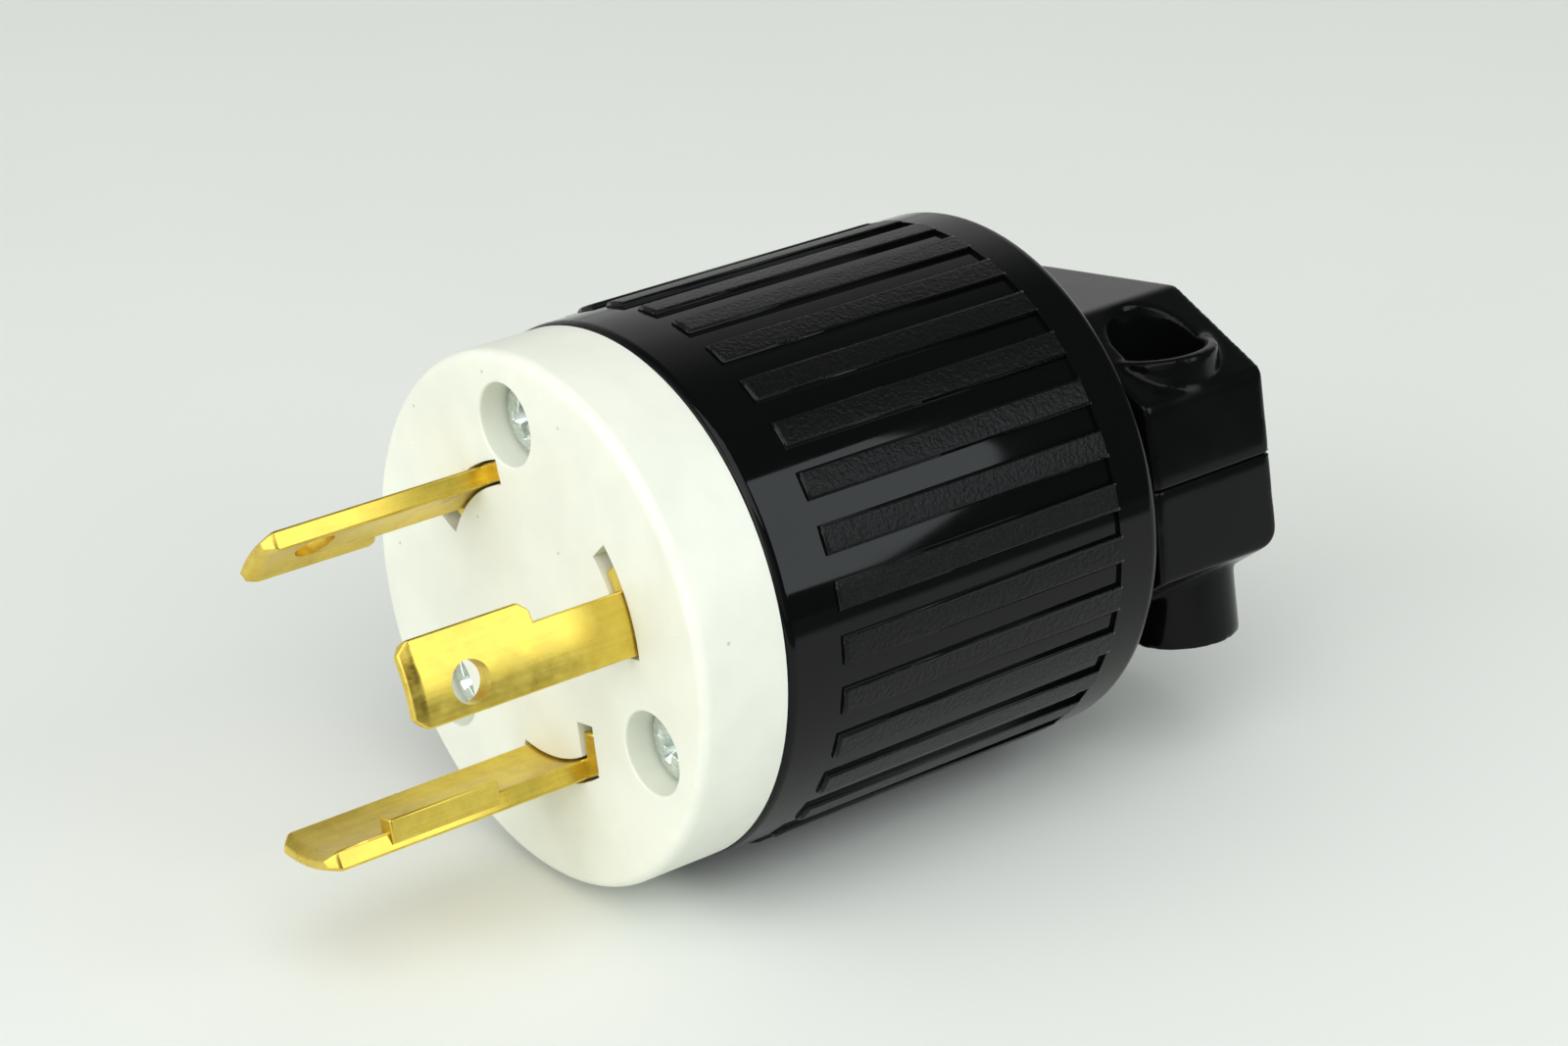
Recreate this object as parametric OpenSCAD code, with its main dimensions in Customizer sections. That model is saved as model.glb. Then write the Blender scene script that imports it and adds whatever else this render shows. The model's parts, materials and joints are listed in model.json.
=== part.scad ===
// Three-blade locking plug, lying on its side. Millimetres, +Z up.
// Each module is drawn about the plug's own axis and laid down by place().
// There local +Z points to the blades, and zero is on the nose face.

/* [Nose] */
// Radius of the white nose
nose_r = 24.7; // [23:0.1:26]
// Length of the nose in front of the housing
nose_len = 8.9; // [6:0.1:12]
// Radius of the rounded front edge
nose_edge = 1; // [0.4:0.1:2]
// Length of the spigot inside the housing
spigot_len = 7.8; // [4:0.1:12]
// Radius of the recess in the back of the nose
nose_recess_r = 8; // [4:0.1:8.5]
// Thickness of the nose in front of that recess
nose_web = 4.5; // [3:0.1:8]
// Wall left around the core pocket in the back of the nose
core_wall = 1.5; // [1:0.1:2.5]

/* [Housing] */
// Radius of the smooth front band and of the groove floors
band_r = 24.95; // [24:0.05:26]
// Height of the grip pads above the groove floors
pad_height = 0.45; // [0.2:0.05:1]
// Number of grip pads
pad_count = 32; // [24:1:40]
// Share of the pitch that a pad takes
pad_share = 0.55; // [0.4:0.01:0.7]
// Length of the smooth front band
band_len = 5.9; // [4:0.1:9]
// Length of the grip pads
pad_len = 32.2; // [24:0.1:40]
// Drop from the pad tops to the collar
collar_drop = 0.1; // [0.05:0.05:0.5]
// Length of the collar
collar_len = 5.2; // [3:0.1:8]
// Radius of the collar's rounded rear edge
collar_edge = 1.5; // [0.5:0.1:3]
// Radius of the rounded front rim
rim_edge = 1; // [0.5:0.1:1.5]
// Wall thickness at the band
wall = 2.75; // [2:0.05:3.5]
// Thickness of the rear wall
rear_wall = 2.5; // [1.5:0.1:4]
// Outer radius of the rear hub
hub_r = 17; // [15:0.1:20]
// Length of the rear hub
hub_len = 2.2; // [1:0.1:4]
// Radius of the screw posts inside
post_r = 4.4; // [4:0.1:4.6]

/* [Face screws] */
// Distance of the screws from the wall of the housing's bore
screw_inset = 4.1; // [3.9:0.05:5]
// Radius of the counterbores in the face
counterbore_r = 3.8; // [3.5:0.1:4]
// Depth of the counterbores
counterbore_depth = 4.3; // [3:0.1:7]
// Radius of the screw heads
face_head_r = 3.4; // [3:0.1:3.6]
// Height of the screw heads
face_head_h = 2.4; // [1.5:0.1:3]
// Radius of the screw shanks
face_shank_r = 1.9; // [1.5:0.05:2.1]
// Length of the screw shanks
face_shank_len = 37; // [32:0.5:40]

/* [Blades] */
// Distance of line blade 1 and the ground blade, at their inner faces, from the wall of the housing's bore
blade_inset = 9.4; // [8.8:0.05:10.2]
// Distance of line blade 2, which stands further out, from the same wall
line_2_inset = 8.4; // [8:0.05:8.8]
// Thickness of the blades
blade_t = 1.8; // [1.4:0.05:2.2]
// Length of the line blades in front of the face
line_len = 22.1; // [18:0.1:26]
// Length of the ground blade in front of the face
ground_len = 26.3; // [22:0.1:30]
// Distance from the face to the locking heads
notch_len = 9.1; // [7:0.1:12]
// Width of a line blade at its neck, along its outer face
neck_w = 5.85; // [5:0.05:6.5]
// Width of a line blade at its head, along its outer face
head_w = 7.8; // [7:0.05:8.5]
// Bevel along the axis at the blade tips
tip_bevel = 1.2; // [0.5:0.1:2]
// Bevel across the thickness at the blade tips
tip_bevel_t = 0.5; // [0.2:0.05:0.8]
// Cut at the blade corners
corner_cut = 0.9; // [0.3:0.1:2]
// Diameter of the holes in the line blades
blade_hole_d = 3.8; // [3:0.1:4.5]
// Distance of those holes from the face
blade_hole_z = 16.4; // [13:0.1:18]
// Distance of those holes from the straight edge, along the outer face
blade_hole_w = 2.75; // [2.4:0.05:3.4]
// Straight edge of line blade 1, in degrees
line_1_deg = 112.4; // [108:0.1:116]
// Straight edge of line blade 2, in degrees
line_2_deg = -0.7; // [-8:0.1:2]
// Far edge of the ground blade, in degrees
ground_deg = -107.4; // [-112:0.1:-106]
// Width of the ground blade, in degrees
ground_wide = 36.4; // [34:0.1:40]
// Height of the ground blade's hook above its near edge
hook_h = 2.9; // [2:0.1:4]
// Distance from the face to the hook
hook_z = 8.9; // [7:0.1:12]
// Length of the hook
hook_len = 11.2; // [8:0.1:14]

/* [Slots in the face] */
// Gap between a blade and its slot, across the thickness
slot_gap = 0.25; // [0.1:0.05:0.5]
// Start of the slot before line blade 1, in degrees
slot_1_before = 13.6; // [4:0.1:16]
// End of the slot after the neck of line blade 1, in degrees
slot_1_after = 12.6; // [4:0.1:16]
// Start of the slot before line blade 2, in degrees
slot_2_before = 1.5; // [1.2:0.1:4]
// End of the slot after the neck of line blade 2, in degrees
slot_2_after = 15.2; // [8:0.1:20]
// End of the slot beyond the far edge of the ground blade, in degrees
slot_ground_before = 2.1; // [1:0.1:4]
// Sideways distance of the upright leg of the ground slot from the axis
leg_x = 5.85; // [5:0.05:6.2]
// Distance of that leg's upper end below the axis
leg_top = 8.35; // [7.5:0.05:9.5]
// Depth at which the blades widen inside their slots
shoulder_depth = 0.35; // [0.2:0.05:2]
// Gap between the widened blades and the near slot ends, in degrees
shoulder_gap = 0.9; // [0.5:0.1:2]
// Gap between the widened line blades and the far slot ends, in degrees
shoulder_after = 7; // [0.5:0.1:8]
// Gap between the top of the ground blade's leg and the end of its slot
leg_gap = 1; // [0.2:0.05:2]

/* [Terminals] */
// Thickness of the carrier disc
carrier_disc = 4.3; // [3.5:0.1:6]
// Length of the carrier behind the disc
carrier_len = 12; // [10:0.1:14]
// Thickness of the carrier's barriers
barrier_t = 2.4; // [1.5:0.1:3]
// Radius of the carrier's columns around the face screws
column_r = 3.9; // [3.2:0.1:4]
// Gap between the carrier hub and the terminal tabs
hub_gap = 0.6; // [0.4:0.05:1]
// Radius of the bore in the carrier hub
carrier_bore_r = 8; // [5:0.1:8.4]
// Gap between the solid part round the far column and the pressure plates beside it
filler_gap = 1; // [0.6:0.1:2]
// Thickness of the blade feet
foot_t = 1.6; // [1:0.1:2]
// Reach of the blade feet beyond the blade thickness, each way
foot_reach = 1.6; // [0.8:0.1:2]
// Half width of the terminal tabs, in degrees
tab_half_deg = 13; // [10:0.5:15]
// Step beside the ground tab, at the far edge of its blade, in degrees
tab_step = 2; // [1:0.5:8]
// Length of the terminal tabs behind the feet
tab_len = 13.4; // [11:0.1:14]
// Space for the wire between tab and plate
wire_gap = 2.2; // [1.5:0.1:2.5]
// Side of the square pressure plates
plate_side = 9; // [7:0.1:10]
// Thickness of the pressure plates
plate_t = 1.2; // [0.8:0.1:1.5]
// Radius of the terminal screw heads
term_head_r = 3; // [2.5:0.1:3.4]
// Height of the terminal screw heads
term_head_h = 2.2; // [1.5:0.1:2.6]
// Radius of the terminal screw shanks
term_shank_r = 1.75; // [1.4:0.05:2]
// Length of the terminal screw shanks
term_shank_len = 7.4; // [6:0.1:8]

/* [Cord clamp] */
// Length of the clamp block
clamp_len = 15.3; // [12:0.1:18]
// Gap between the rear hub and the block
clamp_stand_off = 0.3; // [0.1:0.05:0.6]
// Half width of the block at the split
clamp_w = 21.7; // [20:0.1:23]
// Half width of the flat top
clamp_top_w = 10.5; // [8:0.1:13]
// Height of the flat top above the split
clamp_top_h = 15; // [14:0.1:17]
// Height of the shoulder on the screw side
shoulder_screw_h = 8; // [6:0.1:10]
// Height of the shoulder on the boss side
shoulder_boss_h = 9; // [7:0.1:10.5]
// Draft of the sides, inwards at the shoulder
clamp_draft = 0.3; // [0:0.05:0.8]
// Rounding of the block's long edges
clamp_round = 0.7; // [0.3:0.1:1.2]
// Rounding of the block's upright edges
clamp_edge = 1; // [0.5:0.1:2.5]
// Rounding of the rear corner on the boss side
clamp_corner = 2; // [0.5:0.1:3]
// Sideways distance of the clamp screws from the axis
clamp_screw_x = 15.4; // [14.5:0.1:16]
// Height of the counterbore rim above the split
rim_h = 11.4; // [9:0.1:13]
// Outer radius of the counterbore rim
rim_r = 5.75; // [5.4:0.05:6.2]
// Radius of the counterbore
clamp_bore_r = 4.35; // [4.2:0.05:4.8]
// Height of the screw seat above the split
clamp_seat_h = 3.4; // [2.5:0.1:5]
// Radius of the long boss
boss_r = 5.2; // [4.5:0.1:5.6]
// Height of the long boss above the split
boss_h = 16.9; // [15:0.1:19]
// Wall left at the end of the long boss
boss_end = 2; // [1:0.1:3]
// Gap between the two halves
split_gap = 0.2; // [0.1:0.05:1]
// Radius of the cord channel
cord_r = 9.2; // [8.5:0.1:9.5]
// Height of the grip ridges in the channel
ridge_h = 0.9; // [0.5:0.1:1.5]
// Width of each grip ridge
ridge_w = 1.6; // [1:0.1:2.2]
// Distance between the grip ridges
ridge_pitch = 4.6; // [3.5:0.1:5]
// Wall of the neck around the cord channel
neck_wall = 3; // [2:0.1:3.2]
// Reach of the flange beyond the neck
flange_reach = 1.1; // [0.6:0.1:1.2]
// Thickness of the flange
flange_t = 2; // [1.2:0.1:3]
// Radius of the clamp screw heads
clamp_head_r = 4; // [3.5:0.1:4.2]
// Height of the clamp screw heads
clamp_head_h = 2.8; // [2:0.1:3.2]
// Radius of the clamp screw shanks
clamp_shank_r = 2; // [1.6:0.05:2.2]
// Length of the clamp screw shanks
clamp_shank_len = 17; // [14:0.1:18]

/* [Fits] */
// Gap between parts that slide into each other
fit = 0.3; // [0.1:0.05:0.5]
// Gap between faces that are clamped together
stack_gap = 0.15; // [0.05:0.05:0.3]
// Gap around a screw where it is threaded
thread_gap = 0.05; // [0.02:0.01:0.15]
// Gap around a screw where it passes freely
free_gap = 0.3; // [0.15:0.05:0.5]

/* [Pose] */
// Pad pitches by which the plug is rolled from its clamp plane as it lies
roll_steps = 1; // [0:1:4]

/* [Hidden] */
$fn = 96;
eps = 0.2;
pitch = 360 / pad_count;
roll = roll_steps * pitch;
screw_deg = [90, -30, -150];

cavity_r = band_r - wall;
screw_circle = cavity_r - screw_inset;
blade_ri = cavity_r - blade_inset;
line_2_ri = cavity_r - line_2_inset;
carrier_hub_r = blade_ri - hub_gap;
blade_ro = blade_ri + blade_t;
line_2_ro = line_2_ri + blade_t;
neck_1 = neck_w / blade_ro * 180 / PI;
neck_2 = neck_w / line_2_ro * 180 / PI;
slot_1 = [line_1_deg - slot_1_before, line_1_deg + neck_1 + slot_1_after];
slot_2 = [line_2_deg - slot_2_before, line_2_deg + neck_2 + slot_2_after];
leg_half = blade_t / 2 + slot_gap;
slot_g = [ground_deg - slot_ground_before, -acos((leg_x + leg_half) / (blade_ro + slot_gap))];
base_g = [slot_g[0] + shoulder_gap, -acos((leg_x + blade_t / 2) / blade_ro)];
pole_1 = line_1_deg + neck_1 / 2;
pole_2 = line_2_deg + neck_2 / 2;
pole_g = base_g[0] + tab_step + tab_half_deg;
// Inner radius, slot and terminal angle of each blade.
poles = [[blade_ri, slot_1, pole_1], [line_2_ri, slot_2, pole_2], [blade_ri, slot_g, pole_g]];
// Degrees between which the nose is cored out and the carrier is solid.
core = [slot_2[1] + core_wall / line_2_ri * 180 / PI,
  screw_deg[0] - asin((counterbore_r + core_wall) / screw_circle)];
plate_half = asin((plate_side / 2 + filler_gap) / (blade_ro + wire_gap));
filler = [pole_1 + plate_half, 360 + pole_g - plate_half];

nose_back = -nose_len - spigot_len;
carrier_front = nose_back - stack_gap;
carrier_back = carrier_front - carrier_disc - carrier_len;
foot_front = carrier_front - stack_gap / 2;
foot_back = foot_front - foot_t;
tab_back = foot_back - tab_len;
term_z = tab_back + plate_side / 2;

pad_r = band_r + pad_height;
pad_deg = pitch * pad_share;
rim_z = -nose_len;
pad_front = rim_z - band_len;
pad_back = pad_front - pad_len;
collar_r = pad_r - collar_drop;
collar_back = pad_back - collar_len;
hub_back = collar_back - hub_len;
cavity_back = collar_back + rear_wall;
spigot_r = cavity_r - fit;
carrier_r = cavity_r - fit;
post_front = carrier_back - stack_gap;

neck_r = cord_r + neck_wall;
flange_r = neck_r + flange_reach;
entry_r = neck_r + fit;
flange_back = cavity_back + stack_gap;
clamp_front = hub_back - clamp_stand_off;
clamp_back = clamp_front - clamp_len;
clamp_mid = (clamp_front + clamp_back) / 2;

face_seat = -counterbore_depth;
face_tip = face_seat - face_shank_len;

// Lays a piece down: the plug's axis becomes +X, rolled so that a groove faces the ground.
module place() {
  rotate([roll, 0, 0]) rotate([90, 0, 90]) children();
}

// Part of a ring about the axis.
module sector(r0, r1, z0, z1, a0, a1) {
  rotate([0, 0, a0]) rotate_extrude(angle = a1 - a0) translate([r0, z0]) square([r1 - r0, z1 - z0]);
}

// A round bar or hole square to the axis.
module radial(r, from, to, z, deg) {
  rotate([0, 0, deg]) translate([from, 0, z]) rotate([0, 90, 0]) cylinder(r = r, h = to - from);
}

// A cross-recess screw with its seat at zero, head up.
module screw(head_r, head_h, shank_r, shank_len) {
  difference() {
    union() {
      intersection() {
        cylinder(r = head_r, h = head_h);
        translate([0, 0, head_h - 2.2 * head_r]) sphere(r = 2.2 * head_r);
      }
      translate([0, 0, -shank_len]) cylinder(r = shank_r, h = shank_len + eps);
    }
    for (turn = [0, 90]) {
      rotate([0, 0, turn]) translate([-0.58 * head_r, -0.14 * head_r, 0.35 * head_h])
        cube([1.16 * head_r, 0.28 * head_r, head_h]);
    }
  }
}

module nose_round() {
  rotate_extrude() {
    translate([0, rim_z]) square([nose_r, nose_len - nose_edge]);
    translate([0, rim_z]) square([nose_r - nose_edge, nose_len]);
    translate([nose_r - nose_edge, -nose_edge]) circle(r = nose_edge);
    translate([0, nose_back]) square([spigot_r, spigot_len + eps]);
  }
}

module nose() {
  color("#eef0e8") place() difference() {
    nose_round();
    for (p = poles) {
      sector(p[0] - slot_gap, p[0] + blade_t + slot_gap, nose_back - 1, 1, p[1][0], p[1][1]);
    }
    translate([leg_x - leg_half, -blade_ri, nose_back - 1])
      cube([2 * leg_half, blade_ri - leg_top, 2 - nose_back]);
    for (a = screw_deg) rotate([0, 0, a]) translate([screw_circle, 0, 0]) {
      translate([0, 0, face_seat]) cylinder(r = counterbore_r, h = counterbore_depth + 1);
      translate([0, 0, nose_back - 1]) cylinder(r = face_shank_r + free_gap, h = -nose_back);
    }
    translate([0, 0, nose_back - 1]) cylinder(r = nose_recess_r, h = 1 - nose_back - nose_web);
    sector(nose_recess_r + core_wall, spigot_r - core_wall, nose_back - 1, -nose_web, core[0], core[1]);
  }
}

// A square bar on edge through a blade at one corner, which bevels that corner.
module corner(ri, deg, z) {
  rotate([0, 0, deg]) translate([ri - 1, 0, z]) rotate([45, 0, 0])
    translate([0, -corner_cut / 1.414, -corner_cut / 1.414])
      cube([blade_t + 2, 1.414 * corner_cut, 1.414 * corner_cut]);
}

// Section of a blade with both faces bevelled at the tip.
module bevelled(ri, tip) {
  ro = ri + blade_t;
  polygon([[ri, tab_back], [ro, tab_back], [ro, tip - tip_bevel], [ro - tip_bevel_t, tip],
    [ri + tip_bevel_t, tip], [ri, tip - tip_bevel]]);
}

// A blade cut from one piece of ring, with its foot, its terminal tab and the threaded hole for its screw.
// Each cut is a range along the axis and a range of degrees.
module blade(ri, base, pole, tip, cuts) {
  ro = ri + blade_t;
  tab = [pole - tab_half_deg, pole + tab_half_deg];
  tail = [[tab_back - 1, nose_back, base[0] - 1, tab[0]], [tab_back - 1, nose_back, tab[1], base[1] + 1]];
  difference() {
    union() {
      difference() {
        rotate([0, 0, base[0]]) rotate_extrude(angle = base[1] - base[0]) bevelled(ri, tip);
        for (c = concat(cuts, tail)) sector(ri - 1, ro + 1, c[0], c[1], c[2], c[3]);
      }
      sector(ri - foot_reach, ro + foot_reach, foot_back, foot_front, tab[0] - 2, tab[1] + 2);
    }
    radial(term_shank_r + thread_gap, ri - 2, ro + 2, term_z, pole);
  }
}

module line_blade(ri, slot, pole, a0) {
  ro = ri + blade_t;
  neck_end = a0 + neck_w / ro * 180 / PI;
  head_end = a0 + head_w / ro * 180 / PI;
  base = [slot[0] + shoulder_gap, slot[1] - shoulder_after];
  difference() {
    blade(ri, base, pole, line_len, [
      [-shoulder_depth, line_len + 1, base[0] - 1, a0],
      [-shoulder_depth, notch_len, neck_end, base[1] + 1],
      [notch_len - eps, line_len + 1, head_end, base[1] + 1]]);
    radial(blade_hole_d / 2, ri - 2, ro + 2, blade_hole_z, a0 + blade_hole_w / ro * 180 / PI);
    for (end = [[a0, line_len], [head_end, line_len], [head_end, notch_len]]) corner(ri, end[0], end[1]);
  }
}

module line_blade_1() {
  color("#c9a24a") place() line_blade(blade_ri, slot_1, pole_1, line_1_deg);
}

module line_blade_2() {
  color("#c9a24a") place() line_blade(line_2_ri, slot_2, pole_2, line_2_deg);
}

// The hook is folded up from the near edge; the upright leg fills the leg of the slot.
module ground_blade() {
  near = ground_deg + ground_wide;
  root = [blade_ro * cos(near), blade_ro * sin(near)];
  color("#c9a24a") place() difference() {
    union() {
      blade(blade_ri, base_g, pole_g, ground_len, [
        [-shoulder_depth, ground_len + 1, base_g[0] - 1, ground_deg],
        [-shoulder_depth, ground_len + 1, near, base_g[1] + 1]]);
      translate([root[0] - blade_t, root[1] + blade_t / 3, hook_z])
        cube([blade_t, hook_h - blade_t / 3, hook_len]);
      translate([leg_x - blade_t / 2, -blade_ri, nose_back])
        cube([blade_t, blade_ri - leg_top - leg_gap, -nose_back - shoulder_depth]);
    }
    for (a = [ground_deg, near]) corner(blade_ri, a, ground_len);
  }
}

// It is solid round the far column, where no terminal stands, which brings its weight under the axis.
module terminal_carrier() {
  color("#e4e2d6") place() difference() {
    union() {
      translate([0, 0, carrier_front - carrier_disc]) cylinder(r = carrier_r, h = carrier_disc);
      translate([0, 0, carrier_back]) cylinder(r = carrier_hub_r, h = carrier_len + eps);
      sector(carrier_hub_r - eps, carrier_r - eps, carrier_back, carrier_back + carrier_len + eps,
        filler[0], filler[1]);
      for (a = screw_deg) rotate([0, 0, a]) {
        translate([0, -barrier_t / 2, carrier_back]) cube([screw_circle, barrier_t, carrier_len + eps]);
        translate([screw_circle, 0, carrier_back]) cylinder(r = column_r, h = carrier_len + eps);
      }
    }
    for (p = poles) {
      sector(p[0] - foot_reach - fit, p[0] + blade_t + foot_reach + fit,
        foot_back - stack_gap, carrier_front + 1, p[2] - tab_half_deg - 4, p[2] + tab_half_deg + 4);
      sector(p[0] - fit, p[0] + blade_t + fit, carrier_front - carrier_disc - 1, carrier_front + 1,
        p[2] - tab_half_deg - 2, p[2] + tab_half_deg + 2);
      radial(term_shank_r + free_gap, carrier_bore_r - 1, blade_ri + 1, term_z, p[2]);
    }
    for (a = screw_deg) rotate([0, 0, a]) translate([screw_circle, 0, carrier_back - 1])
      cylinder(r = face_shank_r + free_gap, h = carrier_disc + carrier_len + 2);
    translate([0, 0, carrier_back - 1]) cylinder(r = carrier_bore_r, h = carrier_len + 1);
  }
}

module wire_plate(p) {
  from = p[0] + blade_t + wire_gap;
  color("#b9bcbe") place() difference() {
    rotate([0, 0, p[2]]) translate([from, -plate_side / 2, term_z - plate_side / 2])
      cube([plate_t, plate_side, plate_side]);
    radial(term_shank_r + free_gap, from - 1, from + plate_t + 1, term_z, p[2]);
  }
}

module wire_plate_1() {
  wire_plate(poles[0]);
}

module wire_plate_2() {
  wire_plate(poles[1]);
}

module wire_plate_ground() {
  wire_plate(poles[2]);
}

module terminal_screw(p) {
  seat = p[0] + blade_t + wire_gap + plate_t;
  place() rotate([0, 0, p[2]]) translate([seat, 0, term_z]) rotate([0, 90, 0])
    screw(term_head_r, term_head_h, term_shank_r, term_shank_len);
}

module line_terminal_screws() {
  color("#c7b07a") for (p = [poles[0], poles[1]]) terminal_screw(p);
}

module ground_terminal_screw() {
  color("#2f7a4a") terminal_screw(poles[2]);
}

module face_screws() {
  color("#b8bfc4") place() for (a = screw_deg) rotate([0, 0, a]) translate([screw_circle, 0, face_seat])
    screw(face_head_r, face_head_h, face_shank_r, face_shank_len);
}

// Outer shape of the housing without its pads.
module housing_round() {
  rotate_extrude() {
    translate([0, pad_back - eps]) square([band_r, rim_z - rim_edge - pad_back + eps]);
    translate([0, pad_back]) square([band_r - rim_edge, rim_z - pad_back]);
    translate([band_r - rim_edge, rim_z - rim_edge]) circle(r = rim_edge);
    translate([0, collar_back + collar_edge]) square([collar_r, collar_len - collar_edge]);
    translate([0, collar_back]) square([collar_r - collar_edge, collar_len]);
    translate([collar_r - collar_edge, collar_back + collar_edge]) circle(r = collar_edge);
    translate([0, hub_back]) square([hub_r, hub_len + eps]);
  }
}

module pads() {
  for (i = [0:pad_count - 1]) {
    middle = -90 + pitch * (i + 0.5);
    sector(band_r - 0.5, pad_r, pad_back - eps, pad_front, middle - pad_deg / 2, middle + pad_deg / 2);
  }
}

module housing() {
  color("#1b1b1d") place() difference() {
    union() {
      difference() {
        union() {
          housing_round();
          pads();
        }
        translate([0, 0, cavity_back]) cylinder(r = cavity_r, h = -cavity_back);
        translate([0, 0, hub_back - 1]) cylinder(r = entry_r, h = hub_len + rear_wall + 2);
      }
      for (a = screw_deg) rotate([0, 0, a]) translate([screw_circle, 0, cavity_back - eps])
        cylinder(r = post_r, h = post_front - cavity_back + eps);
    }
    for (a = screw_deg) rotate([0, 0, a]) translate([screw_circle, 0, face_tip - 1])
      cylinder(r = face_shank_r + thread_gap, h = post_front - face_tip + 2);
    translate([0, 0, flange_back - stack_gap / 2]) cylinder(r = flange_r + fit, h = flange_t + fit);
  }
}

// Rounded rectangle with one corner at zero.
module round_rect(x, y, r) {
  translate([r, 0]) square([x - 2 * r, y]);
  translate([0, r]) square([x, y - 2 * r]);
  for (cx = [r, x - r], cy = [r, y - r]) translate([cx, cy]) circle(r = r);
}

function unit(v) = v / norm(v);

// A convex outline with every corner rounded.
// The corners are cut at the tangent points and filled with circles.
module rounded(points, r) {
  n = len(points);
  back = [for (i = [0:n - 1]) unit(points[(i + n - 1) % n] - points[i])];
  ahead = [for (i = [0:n - 1]) unit(points[(i + 1) % n] - points[i])];
  half = [for (i = [0:n - 1]) acos(back[i] * ahead[i]) / 2];
  polygon([for (i = [0:n - 1], side = [back[i], ahead[i]]) points[i] + side * r / tan(half[i])]);
  for (i = [0:n - 1]) translate(points[i] + unit(back[i] + ahead[i]) * r / sin(half[i])) circle(r = r);
}

// Half of the block in front view: screw side at +x, boss side at -x.
module block_front_view() {
  foot = split_gap / 2;
  screw_side = [[clamp_w, foot], [clamp_w - clamp_draft, shoulder_screw_h], [clamp_top_w, clamp_top_h]];
  boss_side = [[-clamp_top_w, clamp_top_h], [-clamp_w + clamp_draft, shoulder_boss_h], [-clamp_w, foot]];
  rounded(concat(screw_side, boss_side), clamp_round);
}

module block() {
  difference() {
    intersection() {
      translate([0, 0, clamp_back]) linear_extrude(height = clamp_len) block_front_view();
      translate([0, clamp_top_h + 1, 0]) rotate([90, 0, 0]) linear_extrude(height = clamp_top_h + 2)
        translate([-clamp_w, clamp_back]) round_rect(2 * clamp_w, clamp_len, clamp_edge);
    }
    translate([-clamp_w - 1, shoulder_boss_h, clamp_back]) rotate([90, 0, 90])
      linear_extrude(height = clamp_w - clamp_screw_x) difference() {
        translate([-clamp_corner, -1]) square([clamp_corner + 1, clamp_corner + 1]);
        translate([-clamp_corner, clamp_corner]) circle(r = clamp_corner);
      }
  }
}

// Half disc or half tube about the axis, above the split.
module half_round(r, z0, z1) {
  intersection() {
    translate([0, 0, z0]) cylinder(r = r, h = z1 - z0);
    translate([-r - 1, split_gap / 2, z0 - 1]) cube([2 * r + 2, r + 1, z1 - z0 + 2]);
  }
}

module clamp_half() {
  difference() {
    union() {
      difference() {
        union() {
          block();
          half_round(neck_r, clamp_front - eps, flange_back + eps);
          half_round(flange_r, flange_back, flange_back + flange_t);
          translate([clamp_screw_x, split_gap / 2, clamp_mid]) rotate([-90, 0, 0])
            cylinder(r = rim_r, h = rim_h - split_gap / 2);
          translate([-clamp_screw_x, split_gap / 2, clamp_mid]) rotate([-90, 0, 0])
            cylinder(r = boss_r, h = boss_h - split_gap / 2);
        }
        translate([0, 0, clamp_back - 1]) cylinder(r = cord_r, h = flange_back + flange_t - clamp_back + 2);
      }
      for (i = [-1, 0, 1]) difference() {
        middle = clamp_mid + i * ridge_pitch;
        half_round(cord_r + eps, middle - ridge_w / 2, middle + ridge_w / 2);
        translate([0, 0, clamp_back - 1]) cylinder(r = cord_r - ridge_h, h = clamp_len + 2);
      }
    }
    translate([clamp_screw_x, clamp_seat_h, clamp_mid]) rotate([-90, 0, 0])
      cylinder(r = clamp_bore_r, h = clamp_top_h);
    translate([clamp_screw_x, -1, clamp_mid]) rotate([-90, 0, 0])
      cylinder(r = clamp_shank_r + free_gap, h = clamp_seat_h + 2);
    translate([-clamp_screw_x, -1, clamp_mid]) rotate([-90, 0, 0])
      cylinder(r = clamp_shank_r + thread_gap, h = boss_h - boss_end + 1);
  }
}

module cord_clamp_upper() {
  color("#1d1d1f") place() clamp_half();
}

module cord_clamp_lower() {
  color("#1d1d1f") place() rotate([0, 0, 180]) clamp_half();
}

module cord_clamp_screws() {
  color("#b8bfc4") place() for (turn = [0, 180]) rotate([0, 0, turn])
    translate([clamp_screw_x, clamp_seat_h, clamp_mid]) rotate([-90, 0, 0])
      screw(clamp_head_r, clamp_head_h, clamp_shank_r, clamp_shank_len);
}

nose();
terminal_carrier();
line_blade_1();
line_blade_2();
ground_blade();
wire_plate_1();
wire_plate_2();
wire_plate_ground();
line_terminal_screws();
ground_terminal_screw();
face_screws();
housing();
cord_clamp_upper();
cord_clamp_lower();
cord_clamp_screws();
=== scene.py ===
# %% [markdown]
# # A locking plug on a pale table
#
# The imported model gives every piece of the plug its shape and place: a white nose, three brass blades, three
# screws in the face, a black housing with grip pads and a cord clamp in two halves. This lesson keeps those
# shapes. On copies it rounds the edges that a moulding tool or a punch rounds, tapers the recesses of the
# screws and softens the clamp. The rest of its time goes into what light does to nylon, brass and zinc. It
# ends with the table, the soft boxes and the camera of the photograph.

# %% Load the frame
import json
import math

import bmesh
import bpy
from mathutils import Euler, Matrix, Quaternion, Vector

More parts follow.
